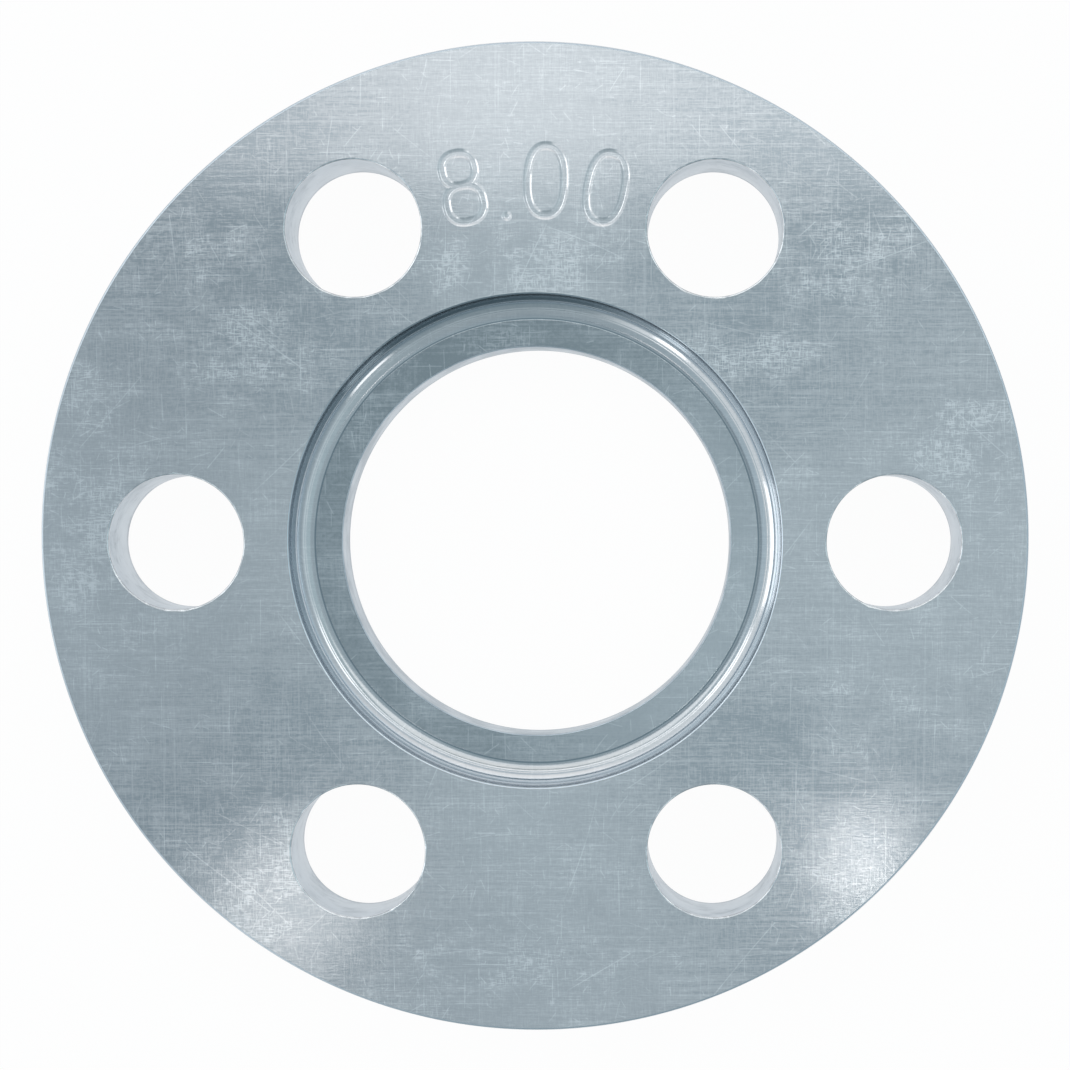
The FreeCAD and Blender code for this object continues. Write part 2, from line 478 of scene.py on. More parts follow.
# Scratches that stand out, in mm on the front face: from, to, width, strength
LONG_SCRATCHES = [
    ((-34.8, 14.8), (-40.4, 8.4), 0.12, 0.30),
    ((-38.8, 18.1), (-38.8, 14.2), 0.11, 0.22),
    ((-26.4, 19.6), (-20.6, 15.4), 0.16, 0.40),
    ((-25.4, 20.2), (-21.9, 17.5), 0.12, 0.26),
    ((-28.2, 16.9), (-19.6, 16.9), 0.10, 0.22),
    ((-19.9, 16.5), (-19.8, 12.3), 0.10, 0.22),
    ((-42.3, 8.1), (-36.2, 8.1), 0.11, 0.25),
    ((-42.5, 6.8), (-32.0, 6.8), 0.10, 0.22),
    ((-42.8, 5.8), (-34.4, 5.8), 0.11, 0.28),
    ((-40.4, 8.2), (-40.4, 2.3), 0.10, 0.25),
    ((-39.5, 7.5), (-39.5, -6.0), 0.10, 0.22),
    ((-39.9, 13.5), (-37.6, 11.8), 0.11, 0.20),
    ((-39.2, 12.3), (-41.4, 8.8), 0.10, 0.20),
    ((-33.1, 13.1), (-33.0, 10.7), 0.13, 0.30),
    ((-32.3, 10.8), (-27.8, 11.0), 0.10, 0.25),
    ((-29.0, 11.9), (-27.6, 11.1), 0.12, 0.35),
    ((-35.6, 10.0), (-33.2, 9.1), 0.12, 0.25),
    ((-34.1, 9.1), (-28.4, 9.9), 0.09, 0.20),
    ((-29.1, 6.6), (-27.6, 8.4), 0.13, 0.35),
    ((-30.8, 24.8), (-26.6, 23.0), 0.10, 0.18),
    ((-14.2, 24.5), (-11.2, 21.3), 0.10, 0.22),
    ((-13.4, 27.5), (-13.4, 22.4), 0.09, 0.16),
    ((14.6, 19.6), (19.4, 18.4), 0.11, 0.25),
    ((17.0, 16.2), (22.4, 17.6), 0.11, 0.25),
    ((37.6, 11.4), (42.0, 7.6), 0.14, 0.35),
    ((38.4, 12.6), (40.8, 10.0), 0.11, 0.25),
    ((33.8, 24.6), (33.8, 20.4), 0.09, 0.18),
    ((-28.4, -24.4), (-22.8, -27.2), 0.12, 0.30),
    ((-31.4, -27.5), (-24.0, -33.2), 0.13, 0.35),
    ((-27.4, -29.2), (-22.0, -34.6), 0.12, 0.35),
    ((-22.6, -27.6), (-25.8, -35.4), 0.10, 0.25),
    ((31.4, -24.8), (31.4, -33.8), 0.12, 0.30),
    ((29.4, -26.6), (34.6, -26.6), 0.10, 0.25),
    ((30.2, -29.9), (27.6, -33.9), 0.10, 0.22),
]

# Hazy, rubbed places, in mm: centre, half width, half height, strength
RUBBED_PLACES = [
    ((-24.5, 17.5), (6.5, 4.5), 0.60),
    ((-3.0, 24.6), (13.0, 2.6), 0.60),
    ((19.5, 16.8), (5.5, 2.2), 0.55),
    ((-39.5, 3.0), (4.5, 10.0), 0.55),
    ((38.6, 8.6), (4.5, 4.0), 0.75),
    ((-37.5, 14.5), (3.5, 3.0), 0.40),
    ((28.0, 25.5), (6.0, 4.5), 0.50),
    ((-30.0, 26.5), (6.0, 4.5), 0.35),
    ((-24.5, -31.5), (6.0, 6.0), 0.60),
    ((29.0, -30.5), (5.5, 5.5), 0.50),
    ((-5.0, -38.0), (14.0, 3.0), 0.40),
    ((30.0, -16.0), (7.0, 5.0), 0.25),
]

# Kinds of scattered scratches: shift of the pattern, size of its cells, length and width in mm, turn,
# spread of the turn, bend, share of the cells that show one, and strength
ANY_WAY = 2 * math.pi
QUARTER = math.pi / 2
FACE_SCRATCHES = [
    ((0.0, 0.0), 2.6, 1.6, 0.11, 0.0, ANY_WAY, 0.06, 0.40, 0.8),
    ((0.0, 0.0), 3.6, 3.0, 0.10, -0.03, 0.06, 0.0, 0.65, 1.0),
    ((31.0, 17.0), 4.2, 3.0, 0.10, QUARTER - 0.03, 0.06, 0.0, 0.55, 0.9),
    ((-11.0, 43.0), 9.0, 6.5, 0.12, 0.0, ANY_WAY, 0.03, 0.55, 0.9),
    ((5.0, -21.0), 1.2, 0.6, 0.12, 0.0, ANY_WAY, 0.2, 0.45, 0.8),
]
RECESS_SCRATCHES = [
    ((0.0, 0.0), 2.0, 1.4, 0.11, 0.0, ANY_WAY, 0.15, 0.50, 1.0),
    ((0.0, 0.0), 2.8, 2.4, 0.10, -0.04, 0.08, 0.0, 0.55, 0.8),
    ((31.0, 17.0), 2.8, 2.4, 0.10, QUARTER - 0.04, 0.08, 0.0, 0.55, 0.8),
]

# Where scratches fade out: the named and the scattered ones beside them, as shares of their width, and the
# scattered ones at their ends, as shares of their length
NAMED_FADE = (0.6, 0.1)
SCATTERED_FADE = (0.6, 0.15)
END_FADE = (1.0, 0.6)

# The shortest scattered scratch's share of its kind's length, the range of a cell's random number over which
# its scratch begins to show, and a factor on the named ones' strength
SHORTEST = 0.15
SHOWN_RISE = 0.02
NAMED_STRENGTH = 1.3

# Where a rubbed place fades out, as shares of its half sizes
RUBBED_FADE = (1.9, 0.2)


def straight_scratch(g, place, start, end, width, strength):
    """The strength on the line from start to end, which falls to 0 beside it. The distance is measured to the
    line's nearest point: the share of the way along it that a dot product gives, kept between 0 and 1."""
    dx, dy = end[0] - start[0], end[1] - start[1]
    square = dx * dx + dy * dy
    away = g.vector("SUBTRACT", place, (*start, 0.0))
    along = g.vector("DOT_PRODUCT", away, (dx / square, dy / square, 0.0), name=1)
    along = g.out("ShaderNodeMath", {"operation": "MULTIPLY", "use_clamp": True}, {0: along, 1: 1.0})
    nearest = g.out("ShaderNodeVectorMath", {"operation": "SCALE"}, {0: (dx, dy, 0.0), 3: along})
    distance = g.vector("DISTANCE", away, nearest, name=1)
    return g.step(distance, NAMED_FADE[0] * width, NAMED_FADE[1] * width, strength)


def scattered_scratches(g, place, cell, length, width, turn, spread, bend, share):
    """Straight and slightly bent scratches, one to a cell of a random pattern. Each is turned by a fixed
    angle plus its cell's random share of the spread, runs its cell's random share of the length, and shows
    in only some cells."""
    pattern = g.node("ShaderNodeTexVoronoi", {"voronoi_dimensions": "2D"},
                     {"Vector": place, "Scale": 1 / cell, "Randomness": 1.0})
    middle = Value(g, pattern.outputs["Position"])
    random = g.node("ShaderNodeSeparateColor", None, {0: Value(g, pattern.outputs["Color"])})
    one, two, three = (Value(g, random.outputs[i]) for i in range(3))
    away = g.vector("SUBTRACT", place, middle)
    turned = g.out("ShaderNodeVectorRotate", {"rotation_type": "Z_AXIS"},
                   {"Vector": away, "Angle": one * spread + turn})
    split = g.node("ShaderNodeSeparateXYZ", None, {0: turned})
    u, v = Value(g, split.outputs[0]), Value(g, split.outputs[1])
    beside = abs(v + u * u * (two - 0.5) * bend)
    along = abs(u) / (three * length + SHORTEST * length)
    line = g.step(beside, SCATTERED_FADE[0] * width, SCATTERED_FADE[1] * width)
    shown = g.step(two, 1 - share, 1 - share + SHOWN_RISE)
    return line * g.step(along, *END_FADE) * shown


def strongest(values):
    """The largest of several values."""
    largest, *others = values
    for other in others:
        largest = largest.larger(other)
    return largest


def scratch_kinds(g, place, kinds):
    """The strongest of several kinds of scattered scratches."""
    return strongest(scattered_scratches(g, g.vector("ADD", place, (*shift, 0.0)), *kind) * strength
                     for shift, *kind, strength in kinds)


def named_scratches(g, place):
    """The strongest of the scratches that stand out."""
    return strongest(straight_scratch(g, place, start, end, width, NAMED_STRENGTH * strength)
                     for start, end, width, strength in LONG_SCRATCHES)


def rubbed_places(g, place):
    """The strongest of a few soft ovals."""
    ovals = []
    for (middle_x, middle_y), (half_x, half_y), strength in RUBBED_PLACES:
        shift = (-middle_x / half_x, -middle_y / half_y, 0.0)
        scaled = g.vector("MULTIPLY_ADD", place, (1 / half_x, 1 / half_y, 0.0), shift)
        ovals.append(g.step(g.vector("LENGTH", scaled, name=1), *RUBBED_FADE, strength))
    return strongest(ovals)


# Colours of the plate on the faces, on the recess's floor ring and on the walls: in the shade of a groove or
# in
# # painted shade, plain, and rubbed bright or in painted light
FACE_TONES = ((0.455, 0.495, 0.525, 1.0), (0.605, 0.625, 0.645, 1.0), (0.900, 0.915, 0.925, 1.0))
RING_TONES = ((0.345, 0.390, 0.415, 1.0), (0.490, 0.530, 0.555, 1.0), (0.760, 0.795, 0.815, 1.0))
WALL_TONES = ((0.405, 0.465, 0.515, 1.0), (0.590, 0.648, 0.700, 1.0), (0.840, 0.905, 0.955, 1.0))
# A dark colour for the line at the fillet's foot and for the painted shade under the recess's upper left edge
DEEP = (0.250, 0.310, 0.345, 1.0)

# How far below 0 a lightness is fully shaded
SHADED_AT = 0.25

# The share of bare metal on the brushed faces, whose haze scatters light
FACE_METAL = 0.70

# Depth of each finish's relief in mm
FACE_RELIEF = 0.0026
RECESS_RELIEF = 0.0050
WALL_RELIEF = 0.0010
EDGE_RELIEF = 0.0080

# In the recess, in mm from the axis: where the floor ring ends, the dark line at the fillet's foot, where
# the wall begins, and where the shade under the front edge does
RING_FADE = (FILLET_FOOT + 0.02, FILLET_FOOT - 0.10)
FOOT_LINE_RADIUS = FILLET_FOOT + 0.03
FOOT_LINE_FADE = (0.10, 0.04)
FOOT_LINE_STRENGTH = 0.80
WALL_FADE = (RECESS_RADIUS - 0.80, RECESS_RADIUS - 0.40)
SHADE_FADE = (RECESS_RADIUS - 0.80, RECESS_RADIUS - 0.45)

# Ways across the recess, as parts of x and y: the painted light and shade follow them, and the relief grows
# to the right
TO_RIGHT = (0.94, -0.34)
TO_UPPER_LEFT = (-0.31, 0.95)
TO_LOWER_RIGHT = (0.64, -0.77)
TO_BOTH_SIDES = (0.90, 0.40)

# On the turned surfaces, in mm: where the bore ends and the rim begins, from the axis, and where the painted
# # shade along the back edge ends, from the back face
BORE_FADE = (BORE_RADIUS + 0.4, BORE_RADIUS + 0.2)
INSIDE_RIM_FADE = (OUTER_RADIUS - 1.0, OUTER_RADIUS - 2.0)
BACK_SHADE_FADE = (0.9, 0.3)

# How the finishes are told apart, in mm: how near the back and the front counts as flat, how far down the
# holes' walls begin, and how far below the floor ring its own edge reaches
SKIN = 0.001
FRONT_ZONE = 0.5
FLOOR_ZONE = 0.2

# Waves to a mm, along x and along y in the noises that run across. The upright ones have the two swapped.
HAIRLINE_WAVES = (0.10, 5.2)
STROKE_WAVES = (1.1, 8.0)
LONG_LINE_WAVES = (0.03, 2.8)
GRAIN_WAVES = (2.4, 3.0)
PATCH_WAVES = (0.16, 0.28)
PATCH_TWO_WAVES = (0.24, 0.15)
PATCH_TWO_SHIFT = (7.0, -3.0)
SWAY_WAVES = 0.12
BROAD_WAVES = 0.035

# Waves to a mm on the walls and on the holes' edges. The turned lines have them up the wall and along x + y,
# and the scuffs along x and y and up the wall, with a lean along x as they go up.
TURNED_WAVES = (9.0, 0.02)
CLOUD_WAVES = 0.30
SCUFF_WAVES = (1.5, 0.4)
SCUFF_LEAN = 2.5
EDGE_WAVES = 0.8

# The range of its noise over which each kind of mark comes up
HAIRLINES_ACROSS = (0.36, 0.68)
HAIRLINES_UPRIGHT = (0.38, 0.70)
PATCHES_ACROSS = (0.25, 0.62)
PATCHES_UPRIGHT = (0.35, 0.68)
STROKES_ACROSS = (0.48, 0.68)
STROKES_UPRIGHT = (0.50, 0.70)
LONG_LINES_ACROSS = (0.70, 0.76)
LONG_LINES_UPRIGHT = (0.71, 0.77)
FACE_CLOUDS = (0.48, 0.76)
FACE_HAZE_GRAIN = (0.42, 0.68)
FACE_BUSY_PATCHES = (0.40, 0.62)
RECESS_CLOUDS = (0.44, 0.66)
WALL_SCUFFS = (0.50, 0.68)
WALL_CLEAR_OF_CLOUDS = (0.54, 0.44)
EDGE_RUBBING = (0.40, 0.62)


def new_material(name):
    """A material and the graph of its nodes."""
    material = bpy.data.materials.new(name)
    material.use_nodes = True
    return material, Graph(material.node_tree)


def plate_colour(g, lightness, tones=FACE_TONES):
    """The plate's colour: plain at 0, rubbed bright or in painted light at 1, and fully shaded, in a groove
    or in painted shade, at a little below 0.
    """
    shaded, plain, bright = tones
    colour = g.blend(lightness, plain, bright)
    return g.blend(lightness / -SHADED_AT, colour, shaded)


def plate_surface(g, colour, metal, rough, height, depth):
    """The plate's shader, with a relief of the given depth in mm."""
    bump = g.out("ShaderNodeBump", None, {"Strength": 1.0, "Distance": depth * MM, "Height": height})
    shader = g.node("ShaderNodeBsdfPrincipled", None, {
        "Base Color": colour,
        "Metallic": metal,
        "Roughness": rough,
        "Normal": bump,
    })
    g.node("ShaderNodeOutputMaterial", None, {"Surface": Value(g, shader.outputs[0])})


def place_in_mm(g):
    """The place on the object in mm, as x, y and z."""
    metres = g.out("ShaderNodeTexCoord", name="Object")
    place = g.out("ShaderNodeVectorMath", {"operation": "SCALE"}, {0: metres, 3: 1 / MM})
    split = g.node("ShaderNodeSeparateXYZ", None, {0: place})
    return [Value(g, split.outputs[i]) for i in range(3)]


def stretched_noise(g, place, waves, detail, rough=0.5, shift=(0.0, 0.0)):
    """A flat noise with its own number of waves to a mm along x and along y."""
    stretched = g.vector("MULTIPLY_ADD", place, (*waves, 0.0), (*shift, 0.0))
    return g.noise(stretched, 1.0, detail, rough)


def brushing(g, flat):
    """Crossed hairlines and short strokes, each direction in its own patches: how light the hairlines are,
    how high they all are, how strong the strokes are, and the two patches."""
    across = stretched_noise(g, flat, HAIRLINE_WAVES, 2.0, 0.7)
    upright = stretched_noise(g, flat, HAIRLINE_WAVES[::-1], 2.0, 0.7)
    stroke_across = stretched_noise(g, flat, STROKE_WAVES, 2.0, 0.6)
    stroke_upright = stretched_noise(g, flat, STROKE_WAVES[::-1], 2.0, 0.6)
    patch = stretched_noise(g, flat, PATCH_WAVES, 4.0, 0.68)
    patch_two = stretched_noise(g, flat, PATCH_TWO_WAVES, 4.0, 0.68, PATCH_TWO_SHIFT)
    weave = g.step(across, *HAIRLINES_ACROSS) * g.step(patch, *PATCHES_ACROSS)
    weave = weave + g.step(upright, *HAIRLINES_UPRIGHT) * g.step(patch_two, *PATCHES_UPRIGHT, 0.7)
    sway = g.noise(flat, SWAY_WAVES, 1.0)
    relief = across * 0.35 + upright * 0.25 + stroke_across * sway + stroke_upright * (1.0 - sway)
    strokes = g.step(stroke_across, *STROKES_ACROSS) + g.step(stroke_upright, *STROKES_UPRIGHT, 0.8)
    return weave, relief, strokes, patch, patch_two


def fine_grain(g, flat):
    """A fine uneven grain that breaks up the strokes and scratches."""
    return stretched_noise(g, flat, GRAIN_WAVES, 3.0, 0.75)


def brushed_zinc():
    """Zinc plate on the finely brushed faces: crossed hairlines in patches, handling scratches and haze."""
    material, g = new_material("brushed_zinc")
    x, y = place_in_mm(g)[:2]
    flat = g.point(x, y)
    weave, relief, strokes, patch, patch_two = brushing(g, flat)
    grain = fine_grain(g, flat)

    # Long fine lines that run far across the face
    long_across = g.step(stretched_noise(g, flat, LONG_LINE_WAVES, 1.0), *LONG_LINES_ACROSS)
    long_upright = g.step(stretched_noise(g, flat, LONG_LINE_WAVES[::-1], 1.0), *LONG_LINES_UPRIGHT)

    # Rubbed haze: clouds of fine grain and short strokes
    rubbed = rubbed_places(g, flat)
    cloud = g.step(patch * 0.55 + patch_two * 0.45 + rubbed * 0.16, *FACE_CLOUDS) * (rubbed + 0.16)
    haze = cloud * (strokes * 0.95 + g.step(grain, *FACE_HAZE_GRAIN, 0.16))

    # Handling scratches, more of them where the face is rubbed
    busy = (g.step(patch, *FACE_BUSY_PATCHES, 0.5) + rubbed * 0.8 + 0.30).smaller(1.0)
    scratches = scratch_kinds(g, flat, FACE_SCRATCHES) * busy * 0.65
    marks = scratches.larger(named_scratches(g, flat)) * (grain * 0.8 + 0.6)

    # Painted sheen: the face is lighter along the two ways of the brushing, and its tone varies a little at
    # large
    painted_sheen_cross = (x * x - y * y) / (x * x + y * y)
    broad_tone_and_painted_sheen = g.noise(flat, BROAD_WAVES, 1.0) * 0.3 + painted_sheen_cross.squared() * 0.34 - 0.30
    lines = weave * 0.27 + strokes * 0.20 + grain * 0.28 + (long_across + long_upright) * 0.17 - 0.295
    lightness = lines + broad_tone_and_painted_sheen + haze * 1.7 + marks * 1.15

    rough = 0.09 + weave * 0.03 + haze * 0.03
    plate_surface(g, plate_colour(g, lightness), FACE_METAL, rough, relief, FACE_RELIEF)
    return material


def towards(way, x, y, radius):
    """How far a place lies one way from the axis: 1 straight that way, 0 across it and -1 the other way."""
    return (x * way[0] + y * way[1]) / radius


def recess_zinc():
    """Zinc plate in the recess: the same brushing and small scratches. On the floor ring they are plain,
    and the ring has painted light at its right and painted shade at its upper left. On the fillet they are
    faint and show most at the right. The wall has painted light at both sides and at its lower right, and
    painted shade under its upper left edge."""
    material, g = new_material("recess_zinc")
    x, y = place_in_mm(g)[:2]
    flat = g.point(x, y)
    radius = g.vector("LENGTH", flat, name=1)
    on_ring = g.step(radius, *RING_FADE)
    on_wall = g.step(radius, *WALL_FADE)
    to_right = towards(TO_RIGHT, x, y, radius).larger(0.0).squared()
    painted_shade_upper_left = towards(TO_UPPER_LEFT, x, y, radius).larger(0.0).squared()
    painted_light_lower_right = towards(TO_LOWER_RIGHT, x, y, radius).larger(0.0).squared()
    painted_light_both_sides = towards(TO_BOTH_SIDES, x, y, radius).squared()

    # Brushing, clouds and scratches
    weave, relief, strokes, patch, patch_two = brushing(g, flat)
    grain = fine_grain(g, flat)
    marks = scratch_kinds(g, flat, RECESS_SCRATCHES) * (grain * 0.8 + 0.6)
    cloud = g.step(patch * 0.55 + patch_two * 0.45, *RECESS_CLOUDS)
    lines = weave * 0.20 + grain * 0.40 + cloud * strokes * 0.40 + marks * 0.45 - 0.36

    # Colours of the ring, the fillet and the wall, with painted light and shade on the ring and painted light
    # on the wall
    ring_tone_with_painted_light_and_shade = lines + to_right * 0.45 - painted_shade_upper_left.squared() * 0.16
    fillet_tone = lines * 0.3
    wall_tone_with_painted_light = fillet_tone + painted_light_lower_right * 0.4 + painted_light_both_sides * 0.45
    colour = g.blend(on_wall, plate_colour(g, fillet_tone), plate_colour(g, wall_tone_with_painted_light, WALL_TONES))
    colour = g.blend(on_ring, colour, plate_colour(g, ring_tone_with_painted_light_and_shade, RING_TONES))
    foot_line = g.step(abs(radius - FOOT_LINE_RADIUS), *FOOT_LINE_FADE, FOOT_LINE_STRENGTH)
    # Painted shade under the wall's upper left edge
    shade = g.step(radius, *SHADE_FADE) * painted_shade_upper_left
    colour = g.blend(foot_line.larger(shade), colour, DEEP)

    metal = 1.0 - on_ring * (1.0 - FACE_METAL)
    rough = 0.12 + weave * 0.03
    height = relief * (on_ring * 0.75 + to_right * 0.25 + 0.15)
    plate_surface(g, colour, metal, rough, height, RECESS_RELIEF)
    return material


def turned_zinc():
    """Zinc plate on the walls of the holes, the bore and the rim: rougher, with fine lines round them. The
    holes also have scuffed, cloudy patches and painted shade along the back edge. The rim is smoother."""
    material, g = new_material("turned_zinc")
    x, y, z = place_in_mm(g)
    radius = g.vector("LENGTH", g.point(x, y), name=1)
    in_bore = g.step(radius, *BORE_FADE)
    in_holes = g.step(radius, *INSIDE_RIM_FADE)
    turned = g.noise(g.point(z * TURNED_WAVES[0], (x + y) * TURNED_WAVES[1]), 1.0, 2.0, 0.7)
    clouds = g.noise(g.point(x, y, z), CLOUD_WAVES, 3.0, 0.6, "3D")
    level_waves, upward_waves = SCUFF_WAVES
    leaning = g.point(x * level_waves + z * SCUFF_LEAN, y * level_waves, z * upward_waves)
    scuffs = g.noise(leaning, 1.0, 2.0, 0.6, "3D")
    scuffed = g.step(scuffs, *WALL_SCUFFS, 0.13) * g.step(clouds, *WALL_CLEAR_OF_CLOUDS)
    # Painted shade in a band along the holes' back edge
    holes_tone_and_painted_shade = (clouds - 0.5) * 0.7 - scuffed - g.step(z, *BACK_SHADE_FADE, 0.25) - in_bore * 0.12
    lightness = (turned - 0.5) * 0.30 - 0.10 + in_holes * (holes_tone_and_painted_shade + 0.10)
    rough = 0.28 + in_holes * 0.14 + turned * 0.04
    plate_surface(g, plate_colour(g, lightness, WALL_TONES), 1.0, rough, turned, WALL_RELIEF)
    return material


def rubbed_edges():
    """Zinc plate on the front edges of the holes, rubbed bright in places."""
    material, g = new_material("rubbed_edges")
    x, y = place_in_mm(g)[:2]
    rubbed = g.noise(g.point(x, y), EDGE_WAVES, 3.0, 0.6)
    lightness = g.step(rubbed, *EDGE_RUBBING) * 0.75 - 0.05
    rough = rubbed * 0.10 + 0.12
    plate_surface(g, plate_colour(g, lightness), 1.0, rough, rubbed, EDGE_RELIEF)
    return material


def paint_shim(mesh):
    """Gives each face its finish, by where its middle is. The bore, the rim and the walls of the holes are
    turned, the recess and the front edges of the holes have their own, and the rest is brushed."""
    mesh.materials.clear()
    for make_material in (brushed_zinc, turned_zinc, recess_zinc, rubbed_edges):
        mesh.materials.append(make_material())
    centres = np.empty(3 * len(mesh.polygons))
    mesh.polygons.foreach_get("center", centres)
    centres = centres.reshape(-1, 3) / MM
    radius = np.hypot(centres[:, 0], centres[:, 1])
    height = centres[:, 2]
    holes = polar(BOLT_CIRCLE_RADIUS, np.arange(BOLT_HOLES) * 2 * math.pi / BOLT_HOLES, 0.0)
    from_hole = np.hypot(*(centres[:, None, :2] - holes[:, :2]).T).min(axis=0)

    mouth = RECESS_RADIUS + RECESS_BREAK
    off_back = height > SKIN
    off_front = height < THICKNESS - SKIN
    turned = off_back & ((height < THICKNESS - FRONT_ZONE) | (radius < mouth))
    turned |= radius > OUTER_RADIUS - RIM_BREAK
    recess = (radius > BORE_RADIUS + BORE_BREAK) & (radius < mouth) & (height > RECESS_FLOOR - FLOOR_ZONE)
    edge = off_front & (height > THICKNESS - HOLE_BREAK) & (from_hole < BOLT_HOLE_RADIUS + 2 * HOLE_BREAK)
    finish = np.where(edge, 3, np.where(recess, 2, turned))
    mesh.polygons.foreach_set("material_index", finish.astype(np.int32))


def build_shim():
    """The whole disc: its turned inside and outside, the faces and walls round the holes, the engraving."""
    grids = [revolve(rim_section()), revolve(bore_section())]
    for hole in range(BOLT_HOLES):
        grids += hole_surfaces(hole)
    shim = add_object("shim_disc", mesh_of("shim_disc", grids))
    cut_engraving(shim)
    mark_edges(shim.data)
    paint_shim(shim.data)
    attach(shim, "root")
    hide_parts("adjustment_shim")


# The floor: half its width and how far it lies under the object, in metres, its paint, its own white, and how
# much of that the camera sees
FLOOR_HALF = 2.5
FLOOR_DROP = 0.00002
FLOOR_PAINT = (0.85, 0.85, 0.85, 1.0)
FLOOR_WHITE = (1.0, 1.0, 1.0, 1.0)
FLOOR_WHITE_SHARE = 0.965

# Lamps: shape, place, size, brightness, colour and the point each faces. Two wide soft ones hang overhead
# on the far side and one stands low at the left. Two small round ones behind the camera give the bright
# patches at the lower left and lower right, and the last four, round about, shine in the recess's fillet.
WARM = (1.0, 0.955, 0.930)
WARMER = (1.0, 0.935, 0.890)
CENTRE = (0.0, 0.0, 0.0)
FLAT = "RECTANGLE"
ROUND = "DISK"
LAMPS = {
    "far_soft_lamp": (FLAT, (-0.04, 0.37, 1.0), (0.85, 0.40), 0.66, WARM, (-0.04, 0.37, 0.0)),
    "farther_soft_lamp": (FLAT, (-0.05, 0.86, 1.0), (2.1, 0.36), 0.95, WARM, (-0.05, 0.86, 0.0)),
    "left_strip_lamp": (FLAT, (-1.2, 0.0, 0.32), (0.6, 0.45), 1.3, WARM, CENTRE),
    "lower_left_lamp": (ROUND, (-0.180, -0.200, 1.008), (0.075, 0.075), 1.15, WARMER, CENTRE),
    "lower_right_lamp": (ROUND, (0.116, -0.177, 1.008), (0.038, 0.038), 3.4, WARMER, CENTRE),
    "low_left_lamp": (FLAT, (-0.68, -0.90, 0.41), (0.15, 0.36), 1.8, WARM, CENTRE),
    "far_left_lamp": (FLAT, (-0.86, 0.50, 0.84), (0.35, 0.40), 1.4, WARM, CENTRE),
    "far_right_lamp": (FLAT, (0.86, 0.50, 0.84), (0.35, 0.35), 1.1, WARM, CENTRE),
    "low_right_lamp": (FLAT, (0.74, -0.82, 0.48), (0.24, 0.26), 1.4, WARM, CENTRE),
}

# The share of its width times its height that each shape of lamp covers
COVERED = {FLAT: 1.0, ROUND: math.pi / 4}

# The surroundings: straight above, overhead at the left and the right, then each side's colours by height
ABOVE = (0.425, 0.525, 0.575, 1.0)
OVERHEAD = ((0.270, 0.345, 0.395, 1.0), (0.450, 0.540, 0.590, 1.0))
SIDES = {
    "right": [
        (0.36, (0.430, 0.520, 0.570, 1.0)),
        (0.66, (0.790, 0.900, 0.950, 1.0)),
        (0.68, (0.790, 0.900, 0.950, 1.0)),
        (0.80, (0.560, 0.690, 0.740, 1.0)),
    ],
    "far": [
        (0.38, (1.200, 1.200, 1.200, 1.0)),
        (0.50, (0.660, 0.735, 0.790, 1.0)),
        (0.68, (0.660, 0.735, 0.790, 1.0)),
        (0.80, (0.390, 0.445, 0.460, 1.0)),
    ],
    "left": [
        (0.12, (0.680, 0.740, 0.780, 1.0)),
        (0.30, (0.720, 0.800, 0.840, 1.0)),
        (0.68, (0.720, 0.800, 0.840, 1.0)),
        (0.80, (0.560, 0.680, 0.750, 1.0)),
    ],
    "near": [
        (0.58, (0.310, 0.390, 0.430, 1.0)),
        (0.66, (0.540, 0.630, 0.670, 1.0)),
        (0.68, (0.540, 0.630, 0.670, 1.0)),
        (0.80, (0.420, 0.500, 0.540, 1.0)),
    ],
}
PALE = (0.900, 0.960, 0.990, 1.0)

# Where the surroundings change, with the way's height from 0, level, to 1, straight up
OVERHEAD_FADE = (0.93, 0.975)
ABOVE_FROM = 0.975
OVERHEAD_SPREAD = (-0.22, 0.14)
PALE_SIDE = (0.25, 0.50)
PALE_TOP = (0.72, 0.60)
PALE_BOTTOM = (0.12, 0.32)

# The least squared level length of a way, so that nothing is divided by 0
LEAST_SQUARE = 1e-6


def add_floor():
    """A white floor: plain paint to the lamps, and mostly its own white to the camera and in the metal."""
    mesh = bpy.data.meshes.new("floor")
    h, z = FLOOR_HALF, -FLOOR_DROP
    mesh.from_pydata([(-h, -h, z), (h, -h, z), (h, h, z), (-h, h, z)], [], [(0, 1, 2, 3)])
    material, g = new_material("floor_paint")
    paint = g.node("ShaderNodeBsdfDiffuse", None, {"Color": FLOOR_PAINT})
    glow = g.node("ShaderNodeEmission", None, {"Color": FLOOR_WHITE, "Strength": 1.0})
    rays = g.node("ShaderNodeLightPath")
    kinds = ("Is Camera Ray", "Is Glossy Ray", "Is Transmission Ray")
    seen = strongest(Value(g, rays.outputs[kind]) for kind in kinds)
    mixed = g.node("ShaderNodeMixShader", None, {
        0: seen * FLOOR_WHITE_SHARE,
        1: Value(g, paint.outputs[0]),
        2: Value(g, glow.outputs[0]),
    })
    g.node("ShaderNodeOutputMaterial", None, {"Surface": Value(g, mixed.outputs[0])})
    floor = add_object("floor", mesh)
    mesh.materials.append(material)


def add_lamp(name, shape, place, size, brightness, colour, aim):
    """A flat lamp that faces a point. Its power is its brightness times its area times pi. One that faces
    straight down isn't turned."""
    data = bpy.data.lights.new(name, "AREA")
    data.shape = shape
    data.size, data.size_y = size
    data.energy = brightness * COVERED[shape] * size[0] * size[1] * math.pi
    data.color = colour
    lamp = add_object(name, data)
    back = np.array(place) - np.array(aim)
    back /= np.linalg.norm(back)
    heading = math.atan2(back[1], back[0]) + math.pi / 2 if back[2] < 1.0 else 0.0
    lamp.location = place
    lamp.rotation_euler = (math.acos(back[2]), 0.0, heading)
    lamp.visible_camera = False


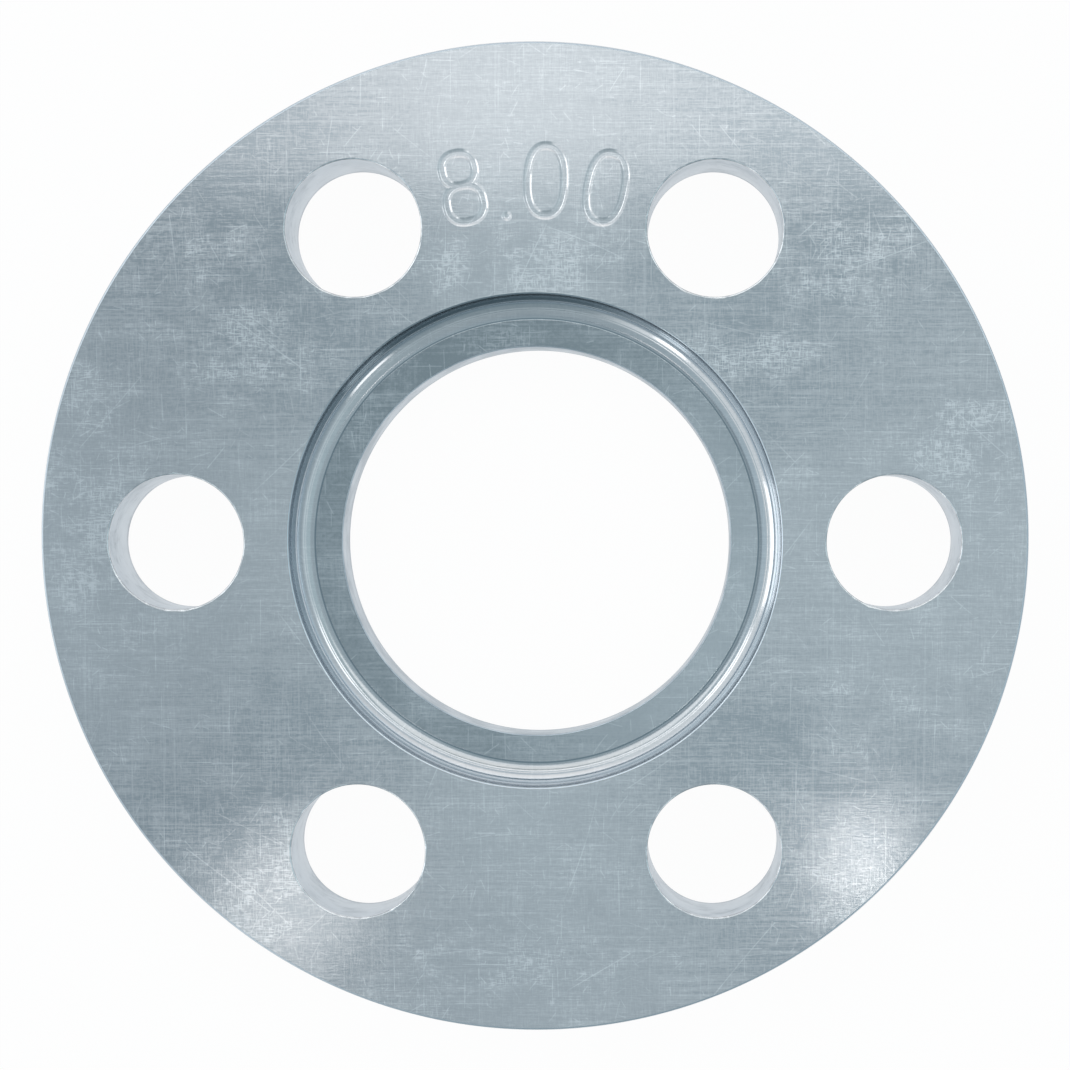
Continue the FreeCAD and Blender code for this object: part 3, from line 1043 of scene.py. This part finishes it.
def add_world():
    """Plain surroundings. Round the sides, each side's colours run up a ramp with smooth steps. The share
    of right or left is the square of the way's x over its level length, and the rest is far or near. The
    left is pale half way down."""
    world = bpy.data.worlds.new("studio")
    world.use_nodes = True
    bpy.context.scene.world = world
    g = Graph(world.node_tree)
    way = g.out("ShaderNodeTexCoord", name="Generated")
    split = g.node("ShaderNodeSeparateXYZ", None, {0: way})
    x, y, z = (Value(g, split.outputs[i]) for i in range(3))
    to_right = g.maths("GREATER_THAN", x, 0.0)
    to_far = g.maths("GREATER_THAN", y, 0.0)
    share = x * x / (1.0 - z * z).larger(LEAST_SQUARE)
    side = {name: g.ramp(z, stops) for name, stops in SIDES.items()}
    across = g.blend(to_right, side["left"], side["right"])
    along = g.blend(to_far, side["near"], side["far"])
    colour = g.blend(share, along, across)
    left = g.maths("SQRT", share - share * to_right)
    pale = g.step(left, *PALE_SIDE) * g.step(z, *PALE_TOP) * g.step(z, *PALE_BOTTOM)
    colour = g.blend(pale, colour, PALE)
    overhead = g.blend(g.step(x, *OVERHEAD_SPREAD), *OVERHEAD)
    overhead = g.blend((z - ABOVE_FROM) / (1.0 - ABOVE_FROM), overhead, ABOVE)
    colour = g.blend(g.step(z, *OVERHEAD_FADE), colour, overhead)
    surroundings = g.node("ShaderNodeBackground", None, {"Color": colour, "Strength": 1.0})
    g.node("ShaderNodeOutputWorld", None, {"Surface": Value(g, surroundings.outputs[0])})


# The camera that a fit to the photograph's circles gives
CAMERA_PLACE = (0.010803, 0.002541, 0.216978)
CAMERA_TILT = -3.694
CAMERA_LENS = 78.83
CAMERA_SHIFT = (-0.1134, 0.1215)
CAMERA_CLIP = (0.01, 20.0)
SENSOR_WIDTH = 36.0


def add_camera():
    """The camera, nearly straight above the front face."""
    data = bpy.data.cameras.new("camera")
    data.sensor_width = SENSOR_WIDTH
    data.lens = CAMERA_LENS
    data.shift_x, data.shift_y = CAMERA_SHIFT
    data.clip_start, data.clip_end = CAMERA_CLIP
    camera = add_object("camera", data)
    camera.location = CAMERA_PLACE
    camera.rotation_euler = (math.radians(CAMERA_TILT), 0.0, 0.0)
    bpy.context.scene.camera = camera


add_camera()
build_shim()
add_floor()
add_world()
for lamp_name, lamp_settings in LAMPS.items():
    add_lamp(lamp_name, *lamp_settings)
bpy.context.scene.view_settings.view_transform = "Standard"
